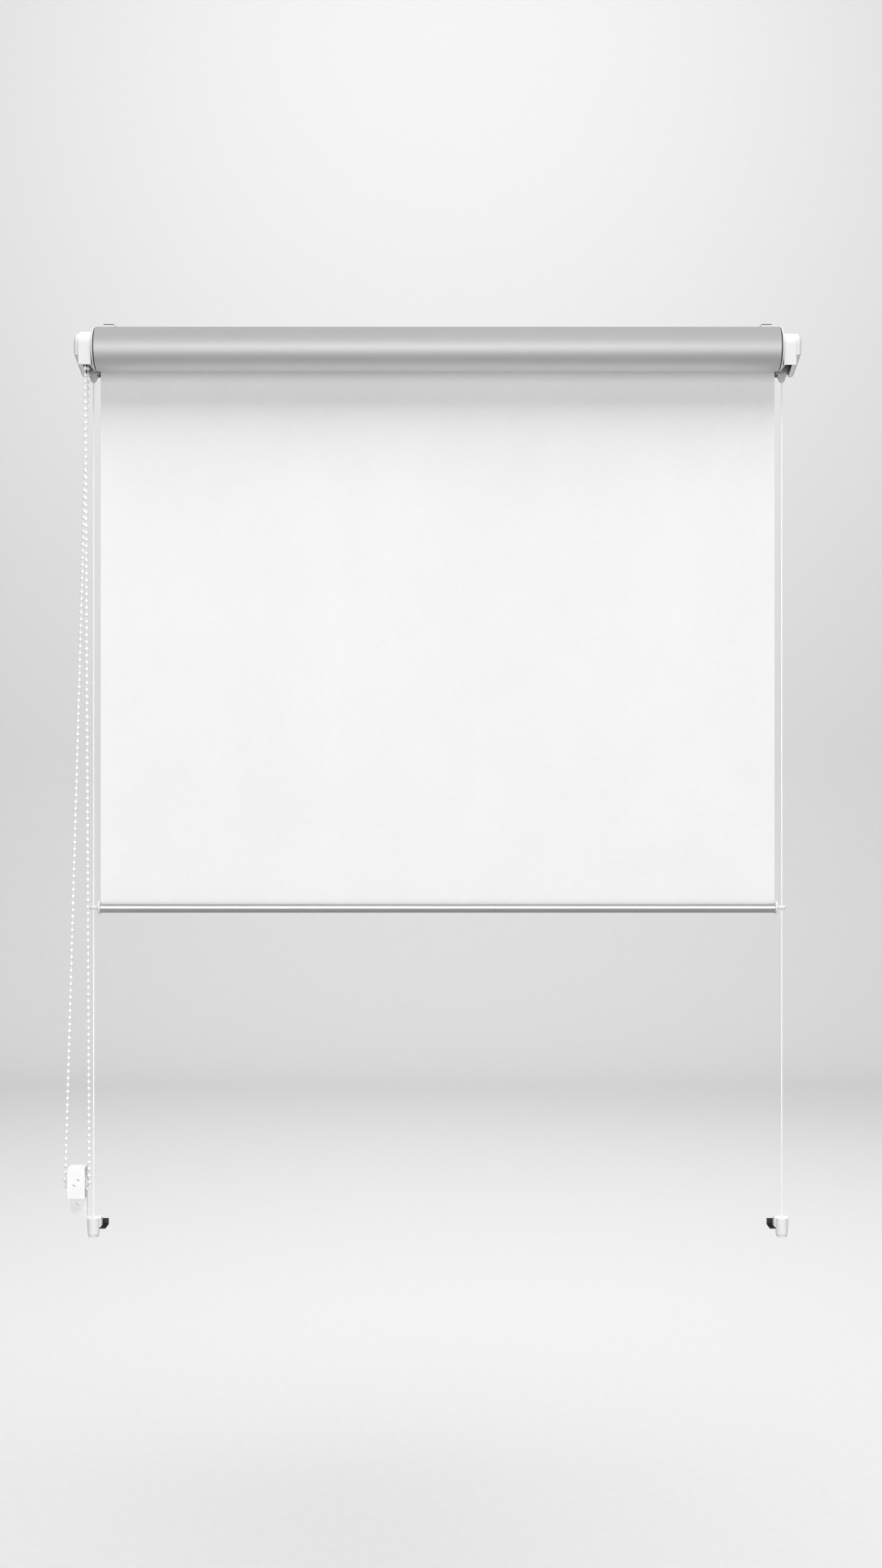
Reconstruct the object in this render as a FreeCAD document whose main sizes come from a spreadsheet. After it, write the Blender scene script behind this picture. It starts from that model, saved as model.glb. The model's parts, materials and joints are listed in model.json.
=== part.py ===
# Blackout roller blind with a chain drive, clipped over the top of an opening casement.
# Millimetres. X runs along the roll, Y into the casement, Z up. The casement's face is the
# plane Y = 0 and the room is on the -Y side. The roll's axis is at height Z = 0. The origin is
# the centre of the four screw holes in the two brackets, on the casement's face.
import FreeCAD, Part
import math
import os

import Sketcher

DOC = FreeCAD.newDocument("RollerBlind")
SHEET = DOC.addObject("Spreadsheet::Sheet", "sizes")
NODES = []
NEAR = 0.01  # mm within which an edge counts as lying on a face


class Size:
    """A length that knows its value and the spreadsheet expression that it comes from."""

    def __init__(self, value, text):
        self.value = value
        self.text = text

    @staticmethod
    def of(other):
        return other if isinstance(other, Size) else Size(float(other), repr(float(other)))

    def join(self, other, sign, value):
        return Size(value, f"({self.text} {sign} {Size.of(other).text})")

    def __add__(self, other):
        return self.join(other, "+", self.value + Size.of(other).value)

    def __sub__(self, other):
        return self.join(other, "-", self.value - Size.of(other).value)

    def __mul__(self, other):
        return self.join(other, "*", self.value * Size.of(other).value)

    def __truediv__(self, other):
        return self.join(other, "/", self.value / Size.of(other).value)

    def __radd__(self, other):
        return Size.of(other) + self

    def __rsub__(self, other):
        return Size.of(other) - self

    def __rmul__(self, other):
        return Size.of(other) * self

    def __neg__(self):
        return Size(-self.value, f"(0 - {self.text})")


def cell(alias, number, note):
    """Write one driving dimension into the spreadsheet."""
    row = cell.row = getattr(cell, "row", 0) + 1
    SHEET.set(f"A{row}", str(number))
    SHEET.setAlias(f"A{row}", alias)
    SHEET.set(f"B{row}", note)
    return Size(float(number), f"sizes.{alias}")


# Cloth and roll
cloth_width = cell("cloth_width", 600.0, "width of the cloth and of its roll")
cloth_thickness = cell("cloth_thickness", 0.42, "coated blackout cloth")
cloth_gap = cell("cloth_gap", 0.3, "from the roll to the hanging cloth")
roll_radius = cell("roll_radius", 19.4, "outside of the cloth on the roll")
roll_gap = cell("roll_gap", 11.0, "from the casement's face to the roll")
hang_drop = cell("hang_drop", 493.0, "from the roll's axis down to the bottom bar's axis")

# Roller tube and its plugs
tube_radius = cell("tube_radius", 12.5, "outside of the aluminium tube")
tube_wall = cell("tube_wall", 1.0, "wall of the tube")
tube_inset = cell("tube_inset", 0.4, "the tube stops short of the cloth's edge")
rib_height = cell("rib_height", 1.4, "driving rib inside the tube")
rib_width = cell("rib_width", 2.0, "width of the driving rib")
plug_fit = cell("plug_fit", 0.1, "radial clearance of the plugs in the tube")
plug_length = cell("plug_length", 30.0, "length of a plug inside the tube")
plug_chamfer = cell("plug_chamfer", 0.8, "chamfer of a plug's inner end")
neck_radius = cell("neck_radius", 7.0, "neck of a plug outside the tube")
disc_step = cell("disc_step", 0.4, "the white disc is lower than the cloth")
disc_thickness = cell("disc_thickness", 1.1, "thickness of the disc")
disc_gap = cell("disc_gap", 1.3, "from the cloth's edge to the disc")
running_gap = cell("running_gap", 0.05, "radial clearance of a shaft in its bore")
side_gap = cell("side_gap", 0.4, "between a turning face and a fixed one")

# Chain drive
wheel_lead = cell("wheel_lead", 5.9, "from the drum covers' inner face to the chain's plane")
wheel_width = cell("wheel_width", 5.6, "width of the chain wheel")
wheel_pockets = cell("wheel_pockets", 9, "bead pockets round the chain wheel")
bead_pitch = cell("bead_pitch", 6.0, "from bead to bead along the chain")
bead_radius = cell("bead_radius", 1.7, "radius of a bead")
bead_clearance = cell("bead_clearance", 0.12, "room round a bead in its pocket")
chain_cord_radius = cell("chain_cord_radius", 0.45, "cord through the beads")
flange_height = cell("flange_height", 2.0, "wheel's flange beyond the pitch circle")
clutch_radius = cell("clutch_radius", 5.0, "fixed shaft inside the drive")
clutch_reach = cell("clutch_reach", 38.0, "length of the fixed shaft from the bracket")
clutch_chamfer = cell("clutch_chamfer", 0.6, "chamfer of the fixed shaft's end")
clutch_shoulder = cell("clutch_shoulder", 3.0, "the fixed shaft's shoulder beyond the shaft")
spring_wire = cell("spring_wire", 0.9, "wire of the brake spring")
spring_pitch = cell("spring_pitch", 1.5, "rise of the brake spring per turn")
spring_turns = cell("spring_turns", 8, "turns of the brake spring")

# Sprung pin at the far end
pin_radius = cell("pin_radius", 3.0, "sprung pin at the idle end")
pin_length = cell("pin_length", 23.3, "length of the sprung pin")
pin_engaged = cell("pin_engaged", 4.2, "how far the pin enters its socket")
pin_chamfer = cell("pin_chamfer", 1.0, "chamfer of the pin's tip")
pin_room = cell("pin_room", 1.0, "room in the socket beyond the pin's tip")
idle_wall = cell("idle_wall", 2.0, "inner end wall of the idle plug")
socket_wall = cell("socket_wall", 2.0, "wall of the socket")
socket_flange = cell("socket_flange", 5.0, "the socket's flange beyond its bore")
socket_flange_thick = cell("socket_flange_thick", 1.6, "thickness of that flange")
idle_wire = cell("idle_wire", 0.6, "wire of the pin's spring")
idle_turns = cell("idle_turns", 6, "turns of the pin's spring")
idle_pitch = cell("idle_pitch", 1.25, "rise of the pin's spring per turn")

# Brackets of bent steel
steel = cell("steel", 1.5, "thickness of the bracket's steel")
drum_width = cell("drum_width", 10.7, "from the drum covers' inner face to the side plate")
side_lead = cell("side_lead", 7.6, "side plate's reach in front of the roll's axis")
side_step = cell("side_step", 1.9, "the bracket's top is lower than its cap")
toe_drop = cell("toe_drop", 5.0, "toe of the side plate below the roll's axis")
nose_length = cell("nose_length", 9.0, "slope of the side plate's upper front corner, along Y")
nose_height = cell("nose_height", 7.0, "the same slope's height")
bridge_room = cell("bridge_room", 1.2, "room beside the hanger's strip under the bracket's bridge")
plate_foot = cell("plate_foot", 16.6, "foot of the back plate below the axis")
tab_length = cell("tab_length", 33.8, "back plate's reach inwards from the side plate")
screw_edge = cell("screw_edge", 4.0, "from the back plate's inner end to its screw holes")
screw_rise = cell("screw_rise", 6.0, "screw holes above and below the axis")
screw_radius = cell("screw_radius", 1.9, "radius of a bracket's screw hole")
shelf_in = cell("shelf_in", 5.8, "string shelf's reach inwards from the string")
shelf_out = cell("shelf_out", 4.1, "string shelf's reach outwards from the string")
shelf_drop = cell("shelf_drop", 2.2, "string shelf's underside below the back plate's foot")
shelf_lead = cell("shelf_lead", 3.3, "string shelf's reach in front of the string")
key_size = cell("key_size", 8.0, "square key of a stub in its side plate")
key_fit = cell("key_fit", 0.05, "clearance round the square key")

# Plastic covers
shell = cell("shell", 1.2, "wall of the plastic covers")
cover_gap = cell("cover_gap", 0.1, "between a cover and the steel inside it")
cap_depth = cell("cap_depth", 5.2, "depth of the end caps")
cap_step = cell("cap_step", 0.1, "an end cap's top is lower than the drum's")
cap_lead = cell("cap_lead", 3.2, "an end cap's reach in front of the side plate")
cap_foot_front = cell("cap_foot_front", 7.0, "foot of the cap's front face below the axis")
cap_drop = cell("cap_drop", 2.1, "back of the cap's foot below the bracket's foot")
cap_edge = cell("cap_edge", 3.4, "round between an end cap's outer face and its rim")
key_room = cell("key_room", 0.9, "room inside an end cap beyond the side plate")
cap_round = cell("cap_round", 10.0, "round of a cap's upper front corner")
drum_gap = cell("drum_gap", 0.7, "from the white disc to the drum cover")
drum_rise = cell("drum_rise", 0.3, "foot of the drum covers above the back plate's foot")
drum_radius = cell("drum_radius", 13.3, "right drum from the roll's axis")
guard_room = cell("guard_room", 3.4, "room round the chain wheel inside its guard")
window_room = cell("window_room", 0.6, "room round the neck in a drum's inner wall")
guard_lip = cell("guard_lip", 1.1, "ledge round the foot of the chain guard")

# Hangers over the top of the casement
rim_top = cell("rim_top", 24.4, "top of the casement above the roll's axis")
rim_depth = cell("rim_depth", 17.0, "thickness of the casement's upper rim")
hook_lead = cell("hook_lead", 10.6, "from the bracket's screw holes to the hanger")
hook_width = cell("hook_width", 9.3, "width of a hanger's steel strip")
hook_steel = cell("hook_steel", 1.0, "thickness of the hanger's strip")
hook_rise = cell("hook_rise", 3.6, "from the casement's top to the strip")
hook_drop = cell("hook_drop", 9.0, "lip of the strip behind the rim")
hook_foot = cell("hook_foot", 14.0, "foot of the strip below the axis")
saddle_width = cell("saddle_width", 11.2, "width of the plastic saddle")
saddle_cheek = cell("saddle_cheek", 0.85, "cheeks of the saddle beside the strip")
saddle_lip = cell("saddle_lip", 0.9, "lip of the saddle in front of the strip")
clamp_radius = cell("clamp_radius", 1.5, "clamp screw's thread")
clamp_head = cell("clamp_head", 2.8, "radius of a clamp screw's head")
clamp_thick = cell("clamp_thick", 1.8, "thickness of a clamp screw's head")
screw_slot = cell("screw_slot", 0.8, "width of a screw's slot")
screw_slot_length = cell("screw_slot_length", 3.4, "length of a clamp screw's slot")

# Guide strings, their holders and tensioners
string_lead = cell("string_lead", 3.3, "from the drum covers' inner face to a guide string")
string_radius = cell("string_radius", 0.6, "radius of a guide string")
string_fit = cell("string_fit", 0.15, "clearance round a string in its eye")
clip_width = cell("clip_width", 7.4, "width of a string holder's clamp")
clip_thick = cell("clip_thick", 1.4, "wall of a string holder")
clip_depth = cell("clip_depth", 6.6, "front to back of a string holder")
clip_drop = cell("clip_drop", 6.9, "foot of the string holder below the shelf")
clip_tongue = cell("clip_tongue", 5.6, "width of the string holder's tongue")
clip_slope = cell("clip_slope", 2.0, "sloped corners of that tongue")
knot_radius = cell("knot_radius", 1.3, "knot above the string shelf")
knot_taper = cell("knot_taper", 0.4, "tapers at both ends of the knot")
rim_foot = cell("rim_foot", 780.3, "lower edge of the casement below the axis")
barrel_rise = cell("barrel_rise", 10.8, "top of a tensioner above the casement's lower edge")
barrel_drop = cell("barrel_drop", 3.2, "foot of a tensioner's barrel below that edge")
barrel_radius = cell("barrel_radius", 5.3, "radius of a tensioner's barrel")
barrel_wall = cell("barrel_wall", 1.3, "wall of a tensioner's barrel")
head_width = cell("head_width", 12.8, "width of a tensioner's block")
head_height = cell("head_height", 8.0, "height of a tensioner's block")
head_thick = cell("head_thick", 2.2, "steel hook's top below the tensioner's top")
barrel_roof = cell("barrel_roof", 4.4, "thickness of a tensioner's barrel at its top")
knob_radius = cell("knob_radius", 4.7, "radius of a tension knob")
knob_thick = cell("knob_thick", 2.7, "a tension knob's reach below the barrel")
knob_stem = cell("knob_stem", 2.0, "a tension knob's stem inside the barrel")
knob_bore = cell("knob_bore", 4.0, "depth of the string's bore in a tension knob")
knob_chamfer = cell("knob_chamfer", 0.5, "chamfer of a tension knob's foot")
knob_slot = cell("knob_slot", 1.0, "width of the slot in a tension knob's foot")
foot_in = cell("foot_in", 8.9, "steel hook's reach inwards from the string")
foot_out = cell("foot_out", 4.6, "steel hook's reach outwards from the string")
foot_rise = cell("foot_rise", 4.6, "lip of the hook behind the lower rim")

# Bottom bar
bar_radius = cell("bar_radius", 4.6, "outside of the aluminium bottom bar")
bar_wall = cell("bar_wall", 0.9, "wall of the bottom bar")
bar_slot = cell("bar_slot", 1.5, "slot for the cloth in the bottom bar")
spline_fit = cell("spline_fit", 0.08, "clearance round the hem spline")
spline_slot = cell("spline_slot", 0.8, "slot for the cloth in the hem spline")
spline_inset = cell("spline_inset", 14.0, "from the bar's end to the hem spline")
eye_flange = cell("eye_flange", 5.75, "radius of a bar cap's flange")
eye_flange_thick = cell("eye_flange_thick", 2.2, "thickness of a bar cap's flange")
eye_pin_radius = cell("eye_pin_radius", 1.7, "radius of a bar cap's pin")
eye_pin_lead = cell("eye_pin_lead", 3.6, "a bar cap's pin beyond the string")
bar_plug = cell("bar_plug", 11.0, "length of a bar cap inside the bar")
bar_plug_chamfer = cell("bar_plug_chamfer", 0.5, "chamfer of a bar cap's inner end")
eye_round = cell("eye_round", 1.2, "round of the tip of a bar cap's pin")

# Chain holder
holder_lead = cell("holder_lead", 15.0, "from the left string out to the pulley")
holder_rise = cell("holder_rise", 42.3, "pulley's axis above the casement's lower edge")
holder_left = cell("holder_left", 7.3, "base plate's left edge from the pulley")
holder_right = cell("holder_right", 7.8, "base plate's right edge from the pulley")
holder_bulge = cell("holder_bulge", 0.8, "swell of the cover's left edge")
holder_top = cell("holder_top", 13.9, "top of the chain holder above the pulley")
holder_foot = cell("holder_foot", 31.4, "foot of the chain holder below the pulley")
holder_thick = cell("holder_thick", 3.0, "thickness of the base plate")
cover_foot = cell("cover_foot", 13.8, "foot of the cover below the pulley")
cover_front = cell("cover_front", 14.2, "front of the cover from the casement")
cover_thick = cell("cover_thick", 1.8, "thickness of the cover's face")
lid_thick = cell("lid_thick", 1.1, "thickness of the cover's top and foot")
pulley_setback = cell("pulley_setback", 8.4, "from the casement to the chain's plane")
pulley_pitch = cell("pulley_pitch", 10.75, "radius of the chain round the pulley")
pulley_width = cell("pulley_width", 5.0, "width of the pulley")
pulley_flange = cell("pulley_flange", 0.75, "from the pulley's rim to the chain's line")
axle_radius = cell("axle_radius", 2.0, "radius of the pulley's axle")
fixing_drop = cell("fixing_drop", 20.0, "screw hole of the chain holder below the pulley")
fixing_radius = cell("fixing_radius", 1.6, "radius of the chain holder's screw hole")
holder_corner = cell("holder_corner", 0.8, "rounded corners of the chain holder's base")
axle_seat = cell("axle_seat", 1.0, "floor under the axle in the holder's base")
slit_length = cell("slit_length", 2.4, "length of a slot in the holder's cover")
slit_width = cell("slit_width", 0.7, "width of a slot in the holder's cover")
slit_drop = cell("slit_drop", 1.4, "fall of such a slot along its length")
hole_radius = cell("hole_radius", 1.3, "radius of a hole in the pulley's web")
hole_count = cell("hole_count", 5, "holes in the pulley's web")
overcut = cell("overcut", 1.0, "how far a cut runs past the faces that it opens")

DOC.recompute()

# Places worked out from the sizes above
roll_setback = roll_radius + roll_gap
axis_y = -roll_setback
tube_bore = tube_radius - tube_wall
tube_end = cloth_width / 2 - tube_inset
disc_radius = roll_radius - disc_step
disc_inner = cloth_width / 2 + disc_gap
drum_inner = disc_inner + disc_thickness + drum_gap
side_inner = drum_inner + drum_width
cap_outer = side_inner + cap_depth
tab_inner = side_inner - tab_length
screw_middle = tab_inner + screw_edge
hook_middle = screw_middle + hook_lead
string_middle = drum_inner + string_lead
wheel_middle = drum_inner + wheel_lead
shelf_inner = string_middle - shelf_in
shelf_outer = string_middle + shelf_out
foot_inner = string_middle - foot_in
foot_outer = string_middle + foot_out
eye_pin_end = string_middle + eye_pin_lead
holder_x = -(string_middle + holder_lead)
plug_end = tube_end - plug_length
cloth_y = axis_y + roll_radius + cloth_gap + cloth_thickness / 2
bar_z = -hang_drop
shelf_reach = shelf_lead - cloth_y
side_front = roll_setback + side_lead
cap_front = side_front + cap_lead
cap_top = drum_radius - cap_step
side_top = cap_top - side_step
cap_foot_back = plate_foot + cap_drop
drum_foot = plate_foot - drum_rise
drum_window = neck_radius + window_room
wheel_radius = bead_pitch * wheel_pockets / (2 * math.pi)
guard_radius = wheel_radius + flange_height + guard_room + shell
shelf_foot = plate_foot + shelf_drop
shelf_top = -(shelf_foot - steel)
knot_top = shelf_top + knot_radius * 1.7
clip_tab = shelf_foot + clip_drop
barrel_z = barrel_rise - rim_foot
barrel_foot = rim_foot + barrel_drop
knob_foot = barrel_foot + knob_thick
holder_drop = rim_foot - holder_rise


def origin_item(body, role):
    """One of a body's own origin planes or axes."""
    return next(item for item in body.Origin.OriginFeatures if item.Role == role)


def new_body(label, x=0.0, y=0.0, z=0.0):
    """Start a body whose placement follows the sizes."""
    body = DOC.addObject("PartDesign::Body", label)
    body.Label = label
    for name, place in zip("xyz", (x, y, z)):
        body.setExpression(f"Placement.Base.{name}", Size.of(place).text)
    return body


def new_sketch(body, role, lift):
    """Start a sketch on one of the body's origin planes, lifted off it."""
    sketch = body.newObject("Sketcher::SketchObject", f"{body.Label}_sketch")
    sketch.AttachmentSupport = [(origin_item(body, role), "")]
    sketch.MapMode = "FlatFace"
    sketch.setExpression("AttachmentOffset.Base.z", Size.of(lift).text)
    return sketch


def bind(sketch, constraint, size):
    """Add a constraint and tie it to its size."""
    index = sketch.addConstraint(constraint)
    sketch.renameConstraint(index, f"size_{index}")
    sketch.setExpression(f"Constraints.size_{index}", Size.of(size).text)


def pin_point(sketch, geometry, vertex, point):
    """Place one point of a sketch by its two distances from the sketch's origin."""
    across, up = (Size.of(part) for part in point)
    bind(sketch, Sketcher.Constraint("DistanceX", -1, 1, geometry, vertex, across.value), across)
    bind(sketch, Sketcher.Constraint("DistanceY", -1, 1, geometry, vertex, up.value), up)


def quarter(centre, here, there):
    """The arc between two points about a centre, and whether it runs from here to there."""
    start, end = (math.atan2(spot.y - centre.y, spot.x - centre.x) for spot in (here, there))
    forward = (end - start) % (2 * math.pi) < math.pi
    if not forward:
        start, end = end, start
    circle = Part.Circle(centre, FreeCAD.Vector(0, 0, 1), centre.distanceToPoint(here))
    return Part.ArcOfCircle(circle, start, end), forward


def draw_outline(sketch, points, arcs=None):
    """Draw a closed outline of lines. arcs gives the centre of each run that is an arc."""
    arcs = arcs or {}
    spots = [FreeCAD.Vector(Size.of(a).value, Size.of(b).value, 0) for a, b in points]
    first = sketch.GeometryCount
    ends = []
    for index, (here, there) in enumerate(zip(spots, spots[1:] + spots[:1])):
        forward = True
        run = Part.LineSegment(here, there) if index not in arcs else None
        if run is None:
            across, up = (Size.of(part) for part in arcs[index])
            run, forward = quarter(FreeCAD.Vector(across.value, up.value, 0), here, there)
        sketch.addGeometry(run, False)
        ends.append((1, 2) if forward else (2, 1))
    for index, point in enumerate(points):
        here, there = first + index, first + (index + 1) % len(points)
        join = Sketcher.Constraint("Coincident", here, ends[index][1], there, ends[there - first][0])
        sketch.addConstraint(join)
        pin_point(sketch, here, ends[index][0], point)
        if index in arcs:
            across = Size.of(arcs[index][0])
            bind(sketch, Sketcher.Constraint("DistanceX", -1, 1, here, 3, across.value), across)


def draw_circle(sketch, centre, radius):
    """Draw a circle."""
    spot = FreeCAD.Vector(Size.of(centre[0]).value, Size.of(centre[1]).value, 0)
    circle = Part.Circle(spot, FreeCAD.Vector(0, 0, 1), Size.of(radius).value)
    index = sketch.addGeometry(circle, False)
    pin_point(sketch, index, 3, centre)
    bind(sketch, Sketcher.Constraint("Radius", index, Size.of(radius).value), radius)


def slab(body, kind, role, low, high, outlines=(), circles=(), arcs=None):
    """Pad or pocket a sketch between two heights above its plane."""
    sketch = new_sketch(body, role, (Size.of(low) + high) / 2)
    for points in outlines:
        draw_outline(sketch, points, arcs)
    for centre, radius in circles:
        draw_circle(sketch, centre, radius)
    feature = body.newObject(f"PartDesign::{kind}", f"{body.Label}_{kind.lower()}")
    feature.Profile = sketch
    feature.Midplane = True
    feature.setExpression("Length", (Size.of(high) - low).text)
    sketch.Visibility = False
    return feature


def pad(body, role, low, high, outlines=(), circles=(), arcs=None):
    """Add a slab of material."""
    return slab(body, "Pad", role, low, high, outlines, circles, arcs)


def pocket(body, role, low, high, outlines=(), circles=(), arcs=None):
    """Cut a slab of material away."""
    return slab(body, "Pocket", role, low, high, outlines, circles, arcs)


def turn(body, kind, role, along, points):
    """Revolve or groove an outline about the sketch's own axis."""
    sketch = new_sketch(body, role, 0)
    draw_outline(sketch, points)
    feature = body.newObject(f"PartDesign::{kind}", f"{body.Label}_{kind.lower()}")
    feature.Profile = sketch
    feature.ReferenceAxis = (sketch, [along])
    feature.Angle = 360.0
    sketch.Visibility = False
    return feature


def turned_x(body, points):
    """Revolve an outline of (station, radius) points about the body's X axis."""
    return turn(body, "Revolution", "XY_Plane", "H_Axis", points)


def turned_z(body, points):
    """Revolve an outline of (radius, height) points about the body's Z axis."""
    return turn(body, "Revolution", "XZ_Plane", "V_Axis", points)


def box_outline(low, high):
    """The outline of a rectangle from its two opposite corners."""
    return [low, (high[0], low[1]), high, (low[0], high[1])]


def round_edges(body, radius, wanted):
    """Fillet the body's edges whose middle and direction pass a test."""
    DOC.recompute()
    base = body.Tip
    names = []
    for index, edge in enumerate(base.Shape.Edges, 1):
        middle = edge.valueAt((edge.FirstParameter + edge.LastParameter) / 2)
        if wanted(middle, edge):
            names.append(f"Edge{index}")
    if not names:
        raise ValueError(f"no edge to round on {body.Label}")
    fillet = body.newObject("PartDesign::Fillet", f"{body.Label}_fillet")
    fillet.Base = (base, names)
    fillet.setExpression("Radius", Size.of(radius).text)
    return fillet


def runs_along(edge, axis):
    """Whether an edge is straight and runs along one axis."""
    if not isinstance(edge.Curve, Part.Line):
        return False
    return abs(getattr(edge.Curve.Direction, axis)) > 0.999


def keep(item):
    """Count an object as one of the blind's pieces."""
    NODES.append(item)
    return item


def keep_pair(right, left_label):
    """Keep a right-hand piece and make its mirror image for the left."""
    keep(right)
    left = DOC.addObject("Part::Mirroring", left_label)
    left.Label = left_label
    left.Source = right
    left.Normal = FreeCAD.Vector(1, 0, 0)
    keep(left)


def keep_shape(label, shape):
    """Keep a piece whose shape is worked out with Part's own functions."""
    item = DOC.addObject("Part::Feature", label)
    item.Label = label
    item.Shape = shape
    return keep(item)


def build_roller():
    """The tube with its driving rib, and the cloth wound on it."""
    tube = new_body("roller_tube", y=axis_y)
    pad(tube, "YZ_Plane", -tube_end, tube_end, circles=[((0, 0), tube_radius), ((0, 0), tube_bore)])
    rib = box_outline((-rib_width / 2, tube_bore - rib_height), (rib_width / 2, tube_bore + tube_wall / 2))
    pad(tube, "YZ_Plane", -tube_end, tube_end, outlines=[rib])
    keep(tube)
    roll = new_body("fabric_roll", y=axis_y)
    half = cloth_width / 2
    pad(roll, "YZ_Plane", -half, half, circles=[((0, 0), roll_radius), ((0, 0), tube_radius)])
    keep(roll)


def plug_outline(bore, bore_depth, neck_end):
    """Half section of an end plug: body in the tube, neck outside it, stepped bore."""
    body_radius = tube_bore - plug_fit
    return [
        (plug_end, bore + bore_depth),
        (plug_end, body_radius - plug_chamfer),
        (plug_end + plug_chamfer, body_radius),
        (tube_end, body_radius),
        (tube_end, neck_radius),
        (neck_end, neck_radius),
        (neck_end, bore),
        (tube_end, bore),
        (tube_end, bore + bore_depth),
    ]


def cut_rib_slot(body, low, high):
    """The slot of a plug, between two stations, that the tube's rib runs in."""
    half = rib_width / 2 + plug_fit
    slot = box_outline((-half, tube_bore - rib_height - plug_fit), (half, tube_radius))
    pocket(body, "YZ_Plane", low - overcut, high + overcut, outlines=[slot])


def build_end_discs():
    """The white discs beside the cloth, which turn with the roll."""
    disc = new_body("right_flange_disc", y=axis_y)
    rings = [((0, 0), disc_radius), ((0, 0), neck_radius + plug_fit)]
    pad(disc, "YZ_Plane", disc_inner, disc_inner + disc_thickness, circles=rings)
    round_edges(disc, disc_thickness / 3, lambda middle, edge: edge.Length > 6 * disc_radius.value)
    keep_pair(disc, "left_flange_disc")


def build_drive():
    """The drive plug, the chain wheel, the fixed shaft and the brake spring, on the left."""
    bore = clutch_radius + running_gap
    wheel_inner = wheel_middle - wheel_width / 2
    plug = new_body("drive_plug", y=axis_y)
    spring_room = spring_wire + spring_wire / 2
    turned_x(plug, [(-along, out) for along, out in plug_outline(bore, spring_room, wheel_inner)])
    cut_rib_slot(plug, -tube_end, -plug_end)
    keep(plug)

    wheel = new_body("chain_wheel", x=-wheel_middle, y=axis_y)
    half = wheel_width / 2
    seat = bead_radius + bead_clearance
    channel = seat + side_gap / 4
    slit = chain_cord_radius + bead_clearance
    rim = wheel_radius + flange_height
    turned_x(wheel, [
        (-half, bore), (-half, rim), (-channel, rim), (-channel, wheel_radius),
        (-slit, wheel_radius), (-slit, wheel_radius - slit), (slit, wheel_radius - slit),
        (slit, wheel_radius), (channel, wheel_radius), (channel, rim), (half, rim), (half, bore),
    ])
    bead_seat = wheel.newObject("PartDesign::SubtractiveSphere", "bead_seat")
    bead_seat.AttachmentSupport = [(origin_item(wheel, "XY_Plane"), "")]
    bead_seat.MapMode = "FlatFace"
    bead_seat.setExpression("Radius", seat.text)
    bead_seat.setExpression("AttachmentOffset.Base.y", (-wheel_radius).text)
    seats = wheel.newObject("PartDesign::PolarPattern", "bead_seats")
    seats.Originals = [bead_seat]
    seats.Axis = (origin_item(wheel, "X_Axis"), [""])
    seats.Angle = 360.0
    seats.setExpression("Occurrences", wheel_pockets.text)
    wheel.Tip = seats
    keep(wheel)

    shaft = new_body("clutch_shaft", y=axis_y)
    shoulder = wheel_middle + wheel_width / 2 + side_gap
    start = side_inner - clutch_reach
    collar = clutch_radius + clutch_shoulder
    turned_x(shaft, [
        (-start, 0), (-start, clutch_radius - clutch_chamfer), (-start - clutch_chamfer, clutch_radius),
        (-shoulder, clutch_radius), (-shoulder, collar), (-side_inner, collar), (-side_inner, 0),
    ])
    add_key(shaft, -side_inner - steel, -side_inner)
    keep(shaft)

    turn_radius = clutch_radius + running_gap + spring_wire / 2
    length = spring_pitch.value * spring_turns.value
    helix = Part.makeHelix(spring_pitch.value, length, turn_radius.value)
    coil = sweep_wire(helix, spring_wire.value / 2, turn_radius.value)
    middle = -(plug_end + plug_length / 2).value
    coil.rotate(FreeCAD.Vector(0, 0, 0), FreeCAD.Vector(0, 1, 0), 90)
    coil.translate(FreeCAD.Vector(middle - length / 2, axis_y.value, 0))
    keep_shape("brake_spring", coil)


def sweep_wire(helix, wire_radius, coil_radius):
    """A round wire swept along a helix that starts on the X axis."""
    start = FreeCAD.Vector(coil_radius, 0, 0)
    section = Part.Wire([Part.makeCircle(wire_radius, start, FreeCAD.Vector(0, 1, 0))])
    return Part.Wire(helix.Edges).makePipeShell([section], True, True)


def add_key(body, low, high):
    """The square key that holds a stub in its side plate."""
    half = key_size / 2 - key_fit
    pad(body, "YZ_Plane", low, high, outlines=[box_outline((-half, -half), (half, half))])


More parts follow.
